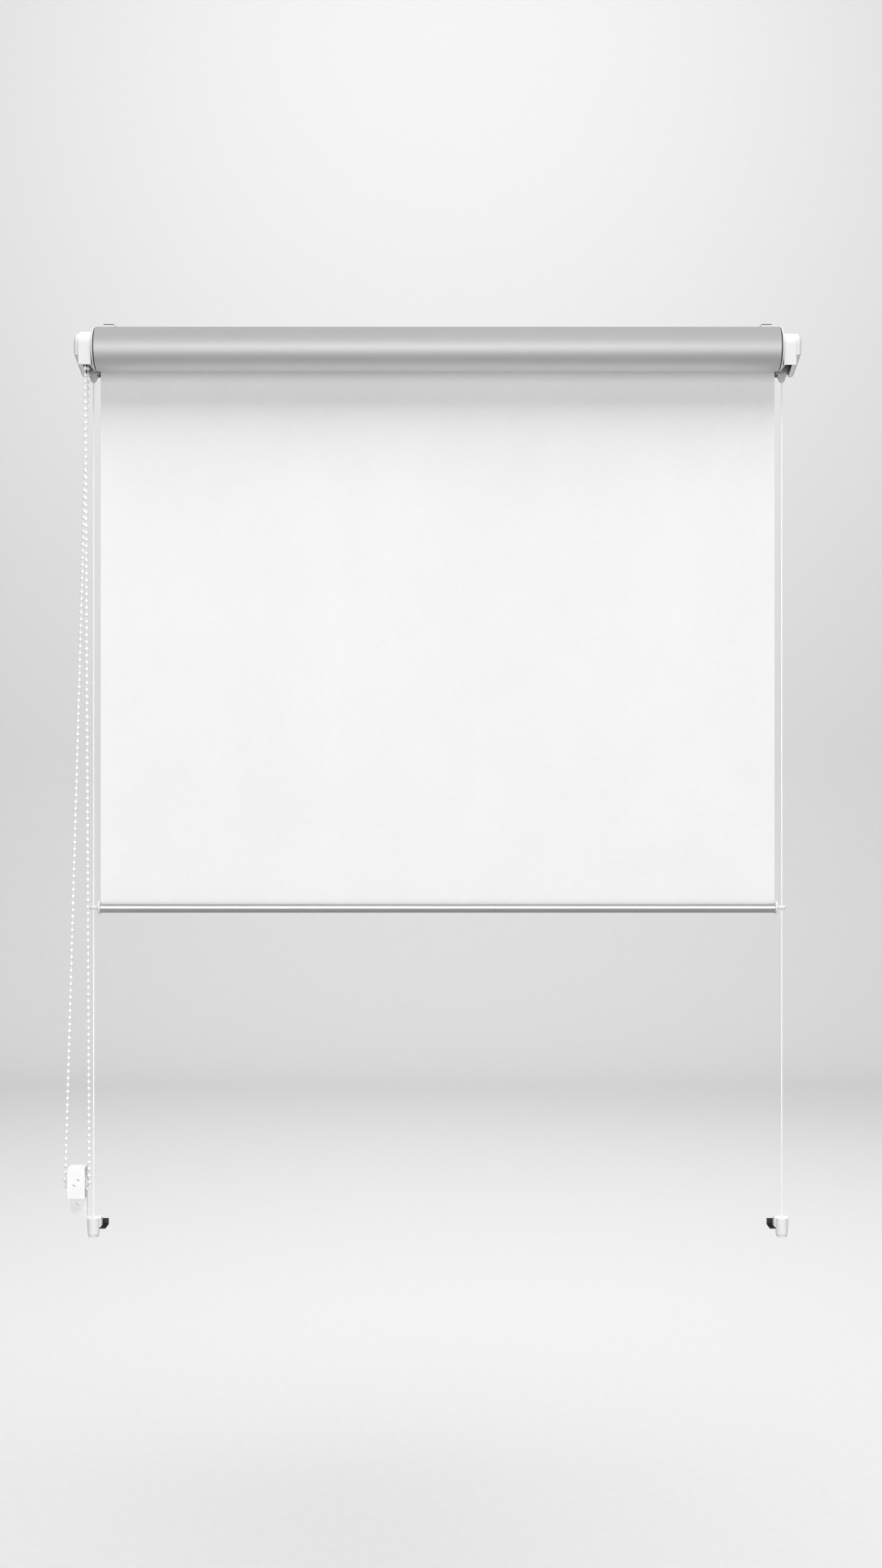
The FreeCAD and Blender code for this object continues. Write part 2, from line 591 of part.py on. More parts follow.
def build_idle_end():
    """The idle plug, its sprung pin and spring, and the socket, on the right."""
    bore = pin_radius + running_gap
    plug = new_body("idle_plug", y=axis_y)
    body_radius = tube_bore - plug_fit
    neck_end = disc_inner + disc_thickness + side_gap
    turned_x(plug, [
        (plug_end, 0), (plug_end, body_radius - plug_chamfer), (plug_end + plug_chamfer, body_radius),
        (tube_end, body_radius), (tube_end, neck_radius), (neck_end, neck_radius),
        (neck_end, bore), (plug_end + idle_wall, bore), (plug_end + idle_wall, 0),
    ])
    cut_rib_slot(plug, plug_end, tube_end)
    keep(plug)

    mouth = drum_inner + shell + side_gap
    tip = mouth + pin_engaged
    pin = new_body("idle_pin", y=axis_y)
    turned_x(pin, [
        (tip - pin_length, 0), (tip - pin_length, pin_radius), (tip - pin_chamfer, pin_radius),
        (tip, pin_radius - pin_chamfer), (tip, 0),
    ])
    keep(pin)

    socket = new_body("idle_socket", y=axis_y)
    flange = side_inner - socket_flange_thick
    end = tip + pin_room
    turned_x(socket, [
        (mouth, bore), (mouth, bore + socket_wall), (flange, bore + socket_wall),
        (flange, bore + socket_flange), (side_inner, bore + socket_flange), (side_inner, 0),
        (end, 0), (end, bore),
    ])
    add_key(socket, side_inner, side_inner + steel)
    keep(socket)

    turn_radius = pin_radius - idle_wire / 2 - running_gap
    length = idle_pitch.value * idle_turns.value
    helix = Part.makeHelix(idle_pitch.value, length, turn_radius.value)
    coil = sweep_wire(helix, idle_wire.value / 2, turn_radius.value)
    coil.rotate(FreeCAD.Vector(0, 0, 0), FreeCAD.Vector(0, 1, 0), 90)
    start = plug_end + idle_wall + idle_wire / 2 + side_gap / 4
    coil.translate(FreeCAD.Vector(start.value, axis_y.value, 0))
    keep_shape("idle_spring", coil)


def build_brackets():
    """Bent steel brackets: back plate with a bridge for the hanger, side plate, string shelf."""
    bracket = new_body("right_bracket")
    step = hook_steel + cover_gap
    bridge_low = hook_middle - hook_width / 2 - bridge_room
    bridge_high = hook_middle + hook_width / 2 + bridge_room
    back_outline = [
        (tab_inner, 0), (bridge_low, 0), (bridge_low, -step), (bridge_high, -step),
        (bridge_high, 0), (side_inner + steel, 0), (side_inner + steel, -steel),
        (bridge_high + steel, -steel), (bridge_high + steel, -step - steel),
        (bridge_low - steel, -step - steel), (bridge_low - steel, -steel), (tab_inner, -steel),
    ]
    pad(bracket, "XY_Plane", -plate_foot, side_top, outlines=[back_outline])
    side_outline = [
        (0, -plate_foot), (0, side_top), (nose_length - side_front, side_top),
        (-side_front, side_top - nose_height), (-side_front, -toe_drop),
    ]
    pad(bracket, "YZ_Plane", side_inner, side_inner + steel, outlines=[side_outline])
    shelf = box_outline((shelf_inner, -shelf_reach), (shelf_outer, -steel / 2))
    pad(bracket, "XY_Plane", -shelf_foot, shelf_top, outlines=[shelf])
    tongue = box_outline((shelf_inner, -steel), (shelf_outer, 0))
    pad(bracket, "XY_Plane", -shelf_foot, steel - plate_foot, outlines=[tongue])
    half = key_size / 2
    key = box_outline((axis_y - half, -half), (axis_y + half, half))
    pocket(bracket, "YZ_Plane", side_inner - overcut, side_inner + steel + overcut, outlines=[key])
    holes = [((screw_middle, screw_rise), screw_radius), ((screw_middle, -screw_rise), screw_radius)]
    pocket(bracket, "XZ_Plane", -overcut, steel + overcut, circles=holes)
    thread = [((hook_middle, 0), clamp_radius + running_gap)]
    pocket(bracket, "XZ_Plane", -overcut, step + steel + overcut, circles=thread)
    eye = [((string_middle, cloth_y), string_radius + string_fit)]
    pocket(bracket, "XY_Plane", -shelf_foot - overcut, shelf_top + overcut, circles=eye)
    keep_pair(bracket, "left_bracket")


def cap_outline(inset, back):
    """Side view of an end cap, drawn in by a wall on every side but the casement's."""
    front = -cap_front + inset
    top = cap_top - inset
    corner = (front + cap_round - inset, top - cap_round + inset)
    points = [
        (back, inset - cap_foot_back), (front, inset - cap_foot_front), (front, corner[1]),
        (corner[0], top), (back, top),
    ]
    return points, {2: corner}


def build_end_caps():
    """White end caps over the side plates."""
    cap = new_body("right_end_cap")
    points, arcs = cap_outline(Size.of(0), Size.of(0))
    pad(cap, "YZ_Plane", side_inner, cap_outer, outlines=[points], arcs=arcs)
    face = cap_outer.value - NEAR
    round_edges(cap, cap_edge, lambda middle, edge: middle.x > face and middle.y < -NEAR)
    points, arcs = cap_outline(shell, overcut)
    floor = side_inner + steel + key_room
    pocket(cap, "YZ_Plane", side_inner - overcut, floor, outlines=[points], arcs=arcs)
    keep_pair(cap, "left_end_cap")


def drum_outline(radius, foot, back):
    """Side view of a drum cover: round above the roll's axis in front, straight below it."""
    front = axis_y - radius
    points = [(back, -foot), (front, -foot), (front, 0), (axis_y, radius), (back, radius)]
    return points, {2: (axis_y, 0)}


def drum_shell(label, radius, side):
    """A drum cover beside an end cap: round in front, open below and behind."""
    drum = new_body(label)
    outer = side_inner - cover_gap
    inner_wall = drum_inner + shell
    low, high = (drum_inner, outer) if side > 0 else (-outer, -drum_inner)
    far = outer + overcut
    cut_low, cut_high = (inner_wall, far) if side > 0 else (-far, -inner_wall)
    points, arcs = drum_outline(radius, drum_foot, -steel - cover_gap)
    pad(drum, "YZ_Plane", low, high, outlines=[points], arcs=arcs)
    points, arcs = drum_outline(radius - shell, drum_foot + overcut, overcut)
    pocket(drum, "YZ_Plane", cut_low, cut_high, outlines=[points], arcs=arcs)
    pocket(drum, "YZ_Plane", low - overcut, high + overcut, circles=[((axis_y, 0), drum_window)])
    room = knot_radius + side_gap
    relief = box_outline((cloth_y - room, -drum_foot - overcut), (cloth_y + room, knot_top + side_gap))
    pocket(drum, "YZ_Plane", low - overcut, high + overcut, outlines=[relief])
    return drum


def build_drums():
    """The idle drum on the right and the chain guard on the left."""
    keep(drum_shell("idle_drum_cover", drum_radius, 1))
    guard = drum_shell("chain_guard", guard_radius, -1)
    front = axis_y - guard_radius
    lip_top = -drum_foot + guard_lip
    outer = side_inner - cover_gap
    lip = box_outline((-outer, front - guard_lip / 2), (-drum_inner, front + shell / 2))
    pad(guard, "XY_Plane", -drum_foot, lip_top, outlines=[lip])
    keep(guard)


def build_hangers():
    """Steel hooks over the casement's top, their plastic saddles and clamp screws."""
    hook = new_body("right_hanger_hook")
    top = rim_top + hook_rise
    back = rim_depth + hook_steel
    outline = [
        (-hook_steel, -hook_foot), (0, -hook_foot), (0, top), (rim_depth + cover_gap, top),
        (rim_depth + cover_gap, rim_top - hook_drop), (back + cover_gap, rim_top - hook_drop),
        (back + cover_gap, top + hook_steel), (-hook_steel, top + hook_steel),
    ]
    half = hook_width / 2
    pad(hook, "YZ_Plane", hook_middle - half, hook_middle + half, outlines=[outline])
    roof = (top + hook_steel).value - NEAR
    front, rear = NEAR - hook_steel.value, (back + cover_gap).value - NEAR
    round_edges(hook, hook_steel * 0.9, lambda middle, edge: runs_along(edge, "x")
                and middle.z > roof and not front < middle.y < rear)
    keep_pair(hook, "left_hanger_hook")

    saddle = new_body("right_hanger_saddle")
    half = saddle_width / 2
    low = rim_top
    gap = cover_gap
    block = box_outline((gap, low), (rim_depth - gap, top - gap / 2))
    pad(saddle, "YZ_Plane", hook_middle - half, hook_middle + half, outlines=[block])
    lip = -hook_steel - gap - saddle_lip
    for low_x in (hook_middle - half, hook_middle + half - saddle_cheek):
        cheek = box_outline((low_x, lip), (low_x + saddle_cheek, rim_depth - gap))
        pad(saddle, "XY_Plane", low, top - gap / 2, outlines=[cheek])
    front = box_outline((hook_middle - half, lip), (hook_middle + half, lip + saddle_lip))
    pad(saddle, "XY_Plane", low, top - gap / 2, outlines=[front])
    keep_pair(saddle, "left_hanger_saddle")

    screw = new_body("right_clamp_screw", x=hook_middle)
    face = hook_steel + cover_gap + steel
    turn(screw, "Revolution", "XY_Plane", "V_Axis", [
        (0, -hook_steel), (clamp_radius, -hook_steel), (clamp_radius, -face), (clamp_head, -face),
        (clamp_head, -face - clamp_thick), (0, -face - clamp_thick),
    ])
    across = (screw_slot / 2, screw_slot_length / 2)
    slot = box_outline((-across[0], -across[1]), across)
    pocket(screw, "XZ_Plane", face + clamp_thick / 2, face + clamp_thick + overcut, outlines=[slot])
    keep_pair(screw, "left_clamp_screw")


def build_strings():
    """Guide strings with their knots, holders, tensioners and knobs."""
    holder = new_body("right_string_holder")
    half = clip_width / 2
    low = string_middle - half
    high = string_middle + half
    front = cloth_y - clip_depth / 2
    rear = cloth_y + clip_depth / 2
    under = -shelf_foot
    foot = under - clip_thick * 2
    pad(holder, "XY_Plane", foot, under, outlines=[box_outline((low, front), (high, rear))])
    low_edge = foot.value + NEAR
    round_edges(holder, clip_thick, lambda middle, edge: runs_along(edge, "y") and middle.z < low_edge)
    left, right = string_middle - clip_tongue / 2, string_middle + clip_tongue / 2
    tab = [
        (left, foot + clip_thick), (left, clip_slope - clip_tab), (left + clip_slope, -clip_tab),
        (right - clip_slope, -clip_tab), (right, clip_slope - clip_tab), (right, foot + clip_thick),
    ]
    tab_depth = clip_thick * 1.6
    pad(holder, "XZ_Plane", -cloth_y - tab_depth / 2, -cloth_y + tab_depth / 2, outlines=[tab])
    eye = [((string_middle, cloth_y), string_radius + string_fit)]
    pocket(holder, "XY_Plane", -clip_tab - overcut, under + overcut, circles=eye)
    keep_pair(holder, "left_string_holder")

    string = new_body("right_guide_string", x=string_middle, y=cloth_y)
    knob_top = knob_stem - barrel_foot
    end = knob_top - knob_bore + side_gap
    turned_z(string, [
        (0, end), (string_radius, end), (string_radius, shelf_top + running_gap),
        (knot_radius, shelf_top + knot_taper), (knot_radius, knot_top - knot_taper),
        (string_radius, knot_top), (0, knot_top),
    ])
    keep_pair(string, "left_guide_string")

    barrel = new_body("right_tensioner", x=string_middle, y=cloth_y)
    inner = barrel_radius - barrel_wall
    neck = string_radius + string_fit
    turned_z(barrel, [
        (neck, barrel_z), (barrel_radius, barrel_z), (barrel_radius, -barrel_foot),
        (inner, -barrel_foot), (inner, barrel_z - barrel_roof), (neck, barrel_z - barrel_roof),
    ])
    half = head_width / 2
    back = -cloth_y - hook_steel - cover_gap
    block = box_outline((-half, 0), (half, back))
    pad(barrel, "XY_Plane", barrel_z - head_height, barrel_z, outlines=[block])
    low = -barrel_foot - overcut
    pocket(barrel, "XY_Plane", low, barrel_z - barrel_roof, circles=[((0, 0), inner)])
    pocket(barrel, "XY_Plane", low, barrel_z + overcut, circles=[((0, 0), neck)])
    face = back.value - NEAR
    round_edges(barrel, barrel_wall / 2, lambda middle, edge: runs_along(edge, "z")
                and middle.y < NEAR and abs(middle.x) > half.value - NEAR)
    keep_pair(barrel, "left_tensioner")

    knob = new_body("right_tension_knob", x=string_middle, y=cloth_y)
    stem = inner - running_gap
    seat = -barrel_foot - side_gap / 2
    turned_z(knob, [
        (neck, knob_top), (stem, knob_top), (stem, seat), (knob_radius, seat),
        (knob_radius, knob_chamfer - knob_foot), (knob_radius - knob_chamfer, -knob_foot),
        (0, -knob_foot), (0, knob_top - knob_bore), (neck, knob_top - knob_bore),
    ])
    across = (knob_radius * 0.7, knob_slot / 2)
    slot = box_outline((-across[0], -across[1]), across)
    pocket(knob, "XY_Plane", -knob_foot - overcut, knob_thick / 3 - knob_foot, outlines=[slot])
    keep_pair(knob, "left_tension_knob")

    hook = new_body("right_tensioner_hook")
    under = -rim_foot
    outline = [
        (-hook_steel, barrel_z - head_thick), (0, barrel_z - head_thick), (0, under),
        (rim_depth, under), (rim_depth, under + foot_rise), (rim_depth + hook_steel, under + foot_rise),
        (rim_depth + hook_steel, under - hook_steel), (-hook_steel, under - hook_steel),
    ]
    pad(hook, "YZ_Plane", foot_inner, foot_outer, outlines=[outline])
    side = string_middle - barrel_radius
    upright = box_outline((foot_inner - overcut, under), (side, barrel_z))
    pocket(hook, "XZ_Plane", -overcut, hook_steel + overcut, outlines=[upright])
    keep_pair(hook, "left_tensioner_hook")


def build_bottom_bar():
    """The aluminium bar with its slot, the hem spline, the end caps and the hanging cloth."""
    half = cloth_width / 2
    bore = bar_radius - bar_wall
    bar = new_body("bottom_bar", y=cloth_y, z=bar_z)
    pad(bar, "YZ_Plane", -half, half, circles=[((0, 0), bar_radius), ((0, 0), bore)])
    slot = box_outline((-bar_slot / 2, 0), (bar_slot / 2, bar_radius + overcut))
    pocket(bar, "YZ_Plane", -half - overcut, half + overcut, outlines=[slot])
    keep(bar)

    spline = new_body("hem_spline", y=cloth_y, z=bar_z)
    spline_half = half - spline_inset
    pad(spline, "YZ_Plane", -spline_half, spline_half, circles=[((0, 0), bore - spline_fit)])
    slot = box_outline((-spline_slot / 2, 0), (spline_slot / 2, bar_radius))
    pocket(spline, "YZ_Plane", -spline_half - overcut, spline_half + overcut, outlines=[slot])
    keep(spline)

    cap = new_body("right_bar_cap", y=cloth_y, z=bar_z)
    plug = bore - spline_fit
    face = half + cover_gap
    turned_x(cap, [
        (half - bar_plug, 0), (half - bar_plug, plug - bar_plug_chamfer),
        (half - bar_plug + bar_plug_chamfer, plug),
        (face, plug), (face, eye_flange), (face + eye_flange_thick, eye_flange),
        (face + eye_flange_thick, eye_pin_radius), (eye_pin_end, eye_pin_radius), (eye_pin_end, 0),
    ])
    eye = [((string_middle, 0), string_radius + string_fit)]
    pocket(cap, "XY_Plane", -eye_flange, eye_flange, circles=eye)
    cloth_slot = box_outline((-spline_slot / 2, 0), (spline_slot / 2, bar_radius))
    pocket(cap, "YZ_Plane", half - bar_plug - overcut, face, outlines=[cloth_slot])
    round_edges(cap, eye_flange_thick / 4, lambda middle, edge: edge.Length > 6 * eye_flange.value)
    tip = eye_pin_end.value - NEAR
    round_edges(cap, eye_round, lambda middle, edge: middle.x > tip)
    keep_pair(cap, "left_bar_cap")

    cloth = new_body("fabric_sheet", y=cloth_y)
    thick = cloth_thickness / 2
    strip = [(-half, -thick), (half, -thick), (half, thick), (-half, thick)]
    pad(cloth, "XY_Plane", bar_z + cover_gap, 0, outlines=[strip])
    keep(cloth)


def build_chain_holder():
    """The chain holder low on the left: base, cover, axle and pulley."""
    left = holder_x - holder_left
    right = holder_x + holder_right
    top = -holder_drop + holder_top
    foot = -holder_drop - holder_foot
    base = new_body("chain_holder_base")
    pad(base, "XZ_Plane", 0, holder_thick, outlines=[box_outline((left, foot), (right, top))])
    centre = (holder_x, -holder_drop)
    front = holder_thick + overcut
    fixing = (holder_x, -holder_drop - fixing_drop)
    pocket(base, "XZ_Plane", -overcut, front, circles=[(fixing, fixing_radius)])
    pocket(base, "XZ_Plane", axle_seat, front, circles=[(centre, axle_radius + running_gap)])
    full = holder_thick.value - NEAR
    round_edges(base, holder_corner, lambda middle, edge: runs_along(edge, "y") and edge.Length > full)
    keep(base)

    axle = new_body("pulley_axle")
    axle_end = cover_front - cover_thick - cover_gap
    pad(axle, "XZ_Plane", axle_seat + cover_gap, axle_end, circles=[(centre, axle_radius)])
    keep(axle)

    cover = new_body("chain_holder_cover")
    low = -holder_drop - cover_foot
    inner_face = cover_front - cover_thick
    height = top - low
    swell = left - holder_bulge
    part_way = left - holder_bulge * 0.7
    face = [
        (left, low), (right, low), (right, top), (left, top), (part_way, top - height / 8),
        (swell, top - height * 0.32), (swell, low + height * 0.38), (part_way, low + height / 6),
    ]
    pad(cover, "XZ_Plane", inner_face, cover_front, outlines=[face])
    lids = [
        box_outline((left, top - lid_thick), (right, top)),
        box_outline((left, low), (right, low + lid_thick)),
    ]
    pad(cover, "XZ_Plane", holder_thick, inner_face + cover_thick / 2, outlines=lids)
    slits = [
        slanted_slot(holder_x + axle_radius * 0.9, -holder_drop + axle_radius * 1.4),
        slanted_slot(holder_x - axle_radius * 0.85, -holder_drop - axle_radius * 1.05),
    ]
    for slit in slits:
        pocket(cover, "XZ_Plane", inner_face - cover_gap, cover_front + overcut, outlines=[slit])
    keep(cover)

    pulley = new_body("chain_pulley", x=holder_x, y=-pulley_setback, z=-holder_drop)
    half = pulley_width / 2
    rim = pulley_pitch - pulley_flange
    floor = pulley_pitch - bead_radius - side_gap / 2
    side = bead_radius + side_gap / 4
    bore = axle_radius + running_gap
    turn(pulley, "Revolution", "XY_Plane", "V_Axis", [
        (bore, -half), (rim, -half), (rim, -side), (floor, -side * 0.62), (floor, side * 0.62),
        (rim, side), (rim, half), (bore, half),
    ])
    hole = ((0, rim * 0.58), hole_radius)
    pocket(pulley, "XZ_Plane", -half - overcut, half + overcut, circles=[hole])
    holes = pulley.newObject("PartDesign::PolarPattern", "pulley_holes")
    holes.Originals = [pulley.Tip]
    holes.Axis = (origin_item(pulley, "Y_Axis"), [""])
    holes.Angle = 360.0
    holes.setExpression("Occurrences", hole_count.text)
    pulley.Tip = holes
    keep(pulley)


def slanted_slot(x, z):
    """A short slanted slot in the face of the chain holder's cover."""
    along, across, fall = slit_length / 2, slit_width / 2, slit_drop / 2
    return [
        (x - along, z + fall - across), (x - along, z + fall + across),
        (x + along, z - fall + across), (x + along, z - fall - across),
    ]


class ChainLoop:
    """The line of the ball chain: round the wheel, down both strands and round the pulley."""

    def __init__(self):
        self.wheel = FreeCAD.Vector(-wheel_middle.value, axis_y.value, 0)
        self.pulley = FreeCAD.Vector(holder_x.value, -pulley_setback.value, -holder_drop.value)
        self.wheel_radius = wheel_radius.value
        self.pulley_radius = pulley_pitch.value

    def corners(self):
        """The four tangent points: wheel front, pulley right, pulley left and wheel rear."""
        front = self.wheel + FreeCAD.Vector(0, -self.wheel_radius, 0)
        rear = self.wheel + FreeCAD.Vector(0, self.wheel_radius, 0)
        right = self.pulley + FreeCAD.Vector(self.pulley_radius, 0, 0)
        left = self.pulley + FreeCAD.Vector(-self.pulley_radius, 0, 0)
        return front, right, left, rear

    def edges(self):
        """The loop's two straight strands and two half turns, in order."""
        front, right, left, rear = self.corners()
        below = self.pulley + FreeCAD.Vector(0, 0, -self.pulley_radius)
        above = self.wheel + FreeCAD.Vector(0, 0, self.wheel_radius)
        return [
            Part.LineSegment(front, right).toShape(),
            Part.Arc(right, below, left).toShape(),
            Part.LineSegment(left, rear).toShape(),
            Part.Arc(rear, above, front).toShape(),
        ]

    def points(self, pitch):
        """Evenly spaced points along the whole loop, from the wheel's front down."""
        edges = self.edges()
        length = sum(edge.Length for edge in edges)
        count = round(length / pitch)
        step = length / count
        found = []
        for index in range(count):
            left_over = index * step
            for edge in edges:
                if left_over <= edge.Length:
                    break
                left_over -= edge.Length
            found.append(edge.valueAt(edge.getParameterByLength(left_over)))
        return found


def build_chain():
    """The ball chain: its cord in four stretches, and its beads."""
    loop = ChainLoop()
    radius = chain_cord_radius.value
    stretches = []
    for edge in loop.edges():
        start = edge.valueAt(edge.FirstParameter)
        along = edge.tangentAt(edge.FirstParameter)
        section = Part.Wire([Part.makeCircle(radius, start, along)])
        stretches.append(Part.Wire([edge]).makePipeShell([section], True, True))
    keep_shape("chain_cord", Part.makeCompound(stretches))
    beads = []
    for point in loop.points(bead_pitch.value):
        beads.append(Part.makeSphere(bead_radius.value, point))
    keep_shape("chain_beads", Part.makeCompound(beads))


def check_pieces():
    """Stop if any object failed or any piece has no sound shape."""
    for item in DOC.Objects:
        if "Invalid" in item.State or "Error" in item.State:
            raise ValueError(f"{item.Label} did not build: {item.State}")
    for node in NODES:
        if node.Shape.isNull() or not node.Shape.isValid():
            raise ValueError(f"{node.Label} has no sound shape")


def write_pieces():
    """Write each piece to its own file."""
    os.makedirs("parts", exist_ok=True)
    for node in NODES:
        node.Shape.exportStep(f"parts/{node.Label}.step")
        box = node.Shape.BoundBox
        print(f"{node.Label}: {len(node.Shape.Solids)} solids, {node.Shape.Volume:.1f} mm3, "
              f"x {box.XMin:.1f} {box.XMax:.1f} y {box.YMin:.1f} {box.YMax:.1f} "
              f"z {box.ZMin:.1f} {box.ZMax:.1f}")


build_roller()
build_end_discs()
build_drive()
build_idle_end()
build_brackets()
build_end_caps()
build_drums()
build_hangers()
build_strings()
build_bottom_bar()
build_chain_holder()
build_chain()
DOC.recompute()
check_pieces()
write_pieces()
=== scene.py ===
"""Looks of a blackout roller blind, built around its packed construction.

Metres, in the construction's own frame: X along the roll, Y into the casement, Z up. The room is on
the -Y side and the roll's axis is at the height Z = 0.
"""
import json
import logging
import math
from dataclasses import dataclass
from enum import Enum
from typing import Callable, Optional, Union

import bpy
from mathutils import Matrix, Vector

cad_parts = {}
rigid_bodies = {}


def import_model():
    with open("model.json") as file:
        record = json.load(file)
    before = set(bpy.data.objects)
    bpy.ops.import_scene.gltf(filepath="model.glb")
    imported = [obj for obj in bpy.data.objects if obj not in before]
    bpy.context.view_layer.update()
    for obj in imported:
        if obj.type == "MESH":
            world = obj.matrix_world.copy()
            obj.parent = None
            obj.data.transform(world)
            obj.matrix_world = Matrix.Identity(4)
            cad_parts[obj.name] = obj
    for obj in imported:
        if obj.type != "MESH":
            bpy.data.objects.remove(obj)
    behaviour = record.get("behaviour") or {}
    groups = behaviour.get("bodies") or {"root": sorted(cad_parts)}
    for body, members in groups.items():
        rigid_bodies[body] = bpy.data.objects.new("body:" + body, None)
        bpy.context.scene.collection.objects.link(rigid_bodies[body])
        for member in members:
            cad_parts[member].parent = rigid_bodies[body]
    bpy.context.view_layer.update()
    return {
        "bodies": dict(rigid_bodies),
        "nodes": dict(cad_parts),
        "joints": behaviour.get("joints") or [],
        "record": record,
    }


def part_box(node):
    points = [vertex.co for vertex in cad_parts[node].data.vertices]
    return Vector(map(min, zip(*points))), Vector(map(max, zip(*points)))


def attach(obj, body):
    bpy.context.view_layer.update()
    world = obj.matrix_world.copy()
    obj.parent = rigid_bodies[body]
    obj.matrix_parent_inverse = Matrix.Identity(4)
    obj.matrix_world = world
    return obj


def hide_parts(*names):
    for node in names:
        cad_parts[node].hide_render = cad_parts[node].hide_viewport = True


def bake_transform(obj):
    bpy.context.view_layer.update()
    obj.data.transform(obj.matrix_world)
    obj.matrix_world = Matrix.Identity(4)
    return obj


LOG = logging.getLogger("roller_blind")
MM = 0.001
NEAR = 0.1 * MM
WELD = 1e-6
NOISE_ROUGHNESS = 0.55

Operand = Union["Signal", float]
Colour = tuple[float, float, float]


class Signal:
    """A value in a material's node tree that takes part in Python arithmetic."""

    def __init__(self, graph: "Graph", socket: bpy.types.NodeSocket) -> None:
        """Wrap one output socket of a node in a graph."""
        self.graph = graph
        self.socket = socket

    def _with(self, operation: str, first: Operand, second: Operand) -> "Signal":
        """Add a Math node.

        Args:
            operation: the Math node's operation.
            first: its first operand.
            second: its second operand.

        Returns:
            The node's value.
        """
        return self.graph.node("ShaderNodeMath", {"operation": operation}, {0: first, 1: second})

    def __add__(self, other: Operand) -> "Signal":
        """Add."""
        return self._with("ADD", self, other)

    def __radd__(self, other: Operand) -> "Signal":
        """Add to a number."""
        return self._with("ADD", other, self)

    def __mul__(self, other: Operand) -> "Signal":
        """Multiply."""
        return self._with("MULTIPLY", self, other)

    def wave(self) -> "Signal":
        """The sine of the value."""
        return self._with("SINE", self, 0.0)

    def size(self) -> "Signal":
        """The value without its sign."""
        return self._with("ABSOLUTE", self, 0.0)


class Graph:
    """The node tree of one material."""

    def __init__(self, name: str) -> None:
        """Start an empty material.

        Args:
            name: the material's name.
        """
        self.material = bpy.data.materials.new(name)
        self.material.use_nodes = True
        self.tree = self.material.node_tree
        self.tree.nodes.clear()

    def node(
        self,
        kind: str,
        settings: Optional[dict] = None,
        inputs: Optional[dict] = None,
        output: Union[int, str] = 0,
    ) -> Signal:
        """Add any node.

        Args:
            kind: the node's type.
            settings: its own settings.
            inputs: values or signals for its input sockets, by name or place.
            output: the output socket to give back.

        Returns:
            That output socket, wrapped.
        """
        made = self.tree.nodes.new(kind)
        for key, value in (settings or {}).items():
            setattr(made, key, value)
        for key, value in (inputs or {}).items():
            if isinstance(value, Signal):
                self.tree.links.new(value.socket, made.inputs[key])
            else:
                made.inputs[key].default_value = value
        return Signal(self, made.outputs[output])

    def place(self) -> Signal:
        """The point on the object, in metres."""
        return self.node("ShaderNodeTexCoord", output="Object")

    def axes(self) -> tuple[Signal, Signal, Signal]:
        """The three coordinates of the point on the object, in metres."""
        split = self.node("ShaderNodeSeparateXYZ", None, {0: self.place()})
        outputs = split.socket.node.outputs
        return tuple(Signal(self, outputs[name]) for name in "XYZ")

    def stretched(self, scale: tuple[float, float, float]) -> Signal:
        """The point on the object, with each axis multiplied."""
        return self.node("ShaderNodeMapping", None, {"Vector": self.place(), "Scale": scale})

    def noise(self, scale: tuple[float, float, float], detail: float = 3.0) -> Signal:
        """Smooth noise from 0 to 1.

        Args:
            scale: cells per metre along each axis.
            detail: how many finer layers are added.

        Returns:
            The noise.
        """
        return self.node("ShaderNodeTexNoise", None, {
            "Vector": self.stretched(scale), "Scale": 1.0,
            "Detail": detail, "Roughness": NOISE_ROUGHNESS,
        })

    def blend(self, low: Colour, high: Colour, share: Signal) -> Signal:
        """A colour between two others."""
        inputs = {0: share, 6: (*low, 1.0), 7: (*high, 1.0)}
        return self.node("ShaderNodeMix", {"data_type": "RGBA"}, inputs, output=2)

    def bump(self, height: Signal, distance: float, strength: float) -> Signal:
        """A normal from a height.

        Args:
            height: the height, from 0 to 1.
            distance: the real height of 1, in metres.
            strength: the share of it that shows.

        Returns:
            The normal.
        """
        inputs = {"Height": height, "Distance": distance, "Strength": strength}
        return self.node("ShaderNodeBump", None, inputs)

    def surface(self, inputs: dict) -> bpy.types.Material:
        """Close the material with a principled surface.

        Args:
            inputs: values or signals for the surface's sockets.

        Returns:
            The finished material.
        """
        shader = self.node("ShaderNodeBsdfPrincipled", None, inputs)
        end = self.tree.nodes.new("ShaderNodeOutputMaterial")
        self.tree.links.new(shader.socket, end.inputs["Surface"])
        return self.material


def shades(level: float, spread: tuple[float, float]) -> tuple[Colour, Colour]:
    """The darkest and the lightest grey round a level."""
    low, high = (level * share for share in spread)
    return (low, low, low), (high, high, high)


